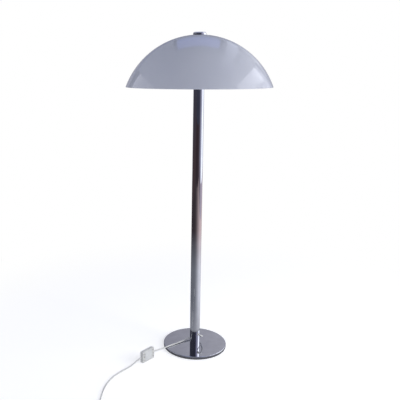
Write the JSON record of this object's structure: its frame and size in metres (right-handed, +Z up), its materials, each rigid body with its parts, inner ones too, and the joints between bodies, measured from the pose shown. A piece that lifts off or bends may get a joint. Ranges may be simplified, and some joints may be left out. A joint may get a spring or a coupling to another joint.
{
  "type": "mushroom floor lamp",
  "caption": "Floor lamp with a round chromed base, a straight pole and an opal dome shade held by a knob, with a mains cord, in-line foot switch and plug.",
  "frame": {"origin": "middle of the base's underside, on the floor", "axes": "+Z up along the pole, -Y towards the front, +X to the right as seen from the front"},
  "size_m": [0.5931, 0.8178, 1.2366],
  "materials": {
    "chrome": "polished mirror chrome",
    "cast_iron": "rough black casting",
    "felt": "black felt",
    "zinc_steel": "zinc plated",
    "white_rubber": "soft matt",
    "cord_jacket": "smooth white jacket",
    "terminal_plastic": "satin",
    "lead_jacket": "silicone sleeve",
    "brass": "bright",
    "white_enamel": "gloss white enamel",
    "opal_acrylic": "glossy opal white",
    "holder_plastic": "satin white",
    "switch_plastic": "fine moulded texture",
    "plate_plastic": "satin",
    "plug_plastic": "fine moulded texture",
    "plated_pins": "nickel plated",
    "bulb_cap": "rolled screw cap",
    "bulb_glass": "opal coated"
  },
  "bodies": {
    "lamp": {"arm_nuts": "zinc_steel", "arm_tube_1": "zinc_steel", "arm_tube_2": "zinc_steel", "arm_tube_3": "zinc_steel", "base_bolt": "zinc_steel", "base_cover": "chrome", "base_pad": "felt", "base_washer": "zinc_steel", "base_weight": "cast_iron", "bulb_base_1": "bulb_cap", "bulb_base_2": "bulb_cap", "bulb_base_3": "bulb_cap", "bulb_glass_1": "bulb_glass", "bulb_glass_2": "bulb_glass", "bulb_glass_3": "bulb_glass", "cluster_hub": "chrome", "cord_bush": "white_rubber", "cord_coil": "cord_jacket", "cord_end": "cord_jacket", "cord_lead": "cord_jacket", "cord_tail": "cord_jacket", "holder_cap_1": "holder_plastic", "holder_cap_2": "holder_plastic", "holder_cap_3": "holder_plastic", "holder_contacts": "brass", "holder_inserts": "terminal_plastic", "holder_leads": "lead_jacket", "holder_liners": "brass", "holder_shell_1": "holder_plastic", "holder_shell_2": "holder_plastic", "holder_shell_3": "holder_plastic", "hub_lid": "chrome", "lamp_flex": "cord_jacket", "lower_nipple": "zinc_steel", "nipple_nut": "zinc_steel", "plate_nut": "zinc_steel", "plug_body": "plug_plastic", "plug_pins": "plated_pins", "pole_foot_plug": "zinc_steel", "pole_top_plug": "chrome", "pole_tube": "chrome", "rod_nut": "zinc_steel", "seat_ring": "white_rubber", "shade_plate": "white_enamel", "shade_rod": "zinc_steel", "switch_base": "switch_plastic", "switch_cover": "switch_plastic", "switch_screws": "zinc_steel", "switch_spring": "brass", "switch_terminals": "brass", "terminal_block": "terminal_plastic"},
    "shade": {"shade": "opal_acrylic", "shade_bush": "holder_plastic"},
    "washer": {"cap_washer": "white_rubber"},
    "knob": {"cap_knob": "chrome"},
    "press_plate": {"switch_plate": "plate_plastic"}
  },
  "joints": [
    {"name": "shade_turn", "type": "hinge", "parent": "lamp", "child": "shade", "pos_m": [0, 0, 1.228], "axis": [0, 0, 1], "continuous": true},
    {"name": "knob_turn", "type": "hinge", "parent": "washer", "child": "knob", "pos_m": [0, 0, 1.232], "axis": [0, 0, 1], "range_deg": [0, 810]},
    {"name": "knob_lift", "type": "slide", "parent": "lamp", "child": "washer", "axis": [0, 0, 1], "range_m": [0, 0.0034]},
    {"name": "switch_press", "type": "slide", "parent": "lamp", "child": "press_plate", "axis": [-0.7852, 0.6192, 0], "range_m": [0, 0.002], "stiffness_N_per_m": 800, "springref_m": -0.002, "deforming": ["switch_spring"]}
  ],
  "couplings": [
    {"joint": "knob_lift", "follows": "knob_turn", "m_per_rad": 0.00023873}
  ]
}
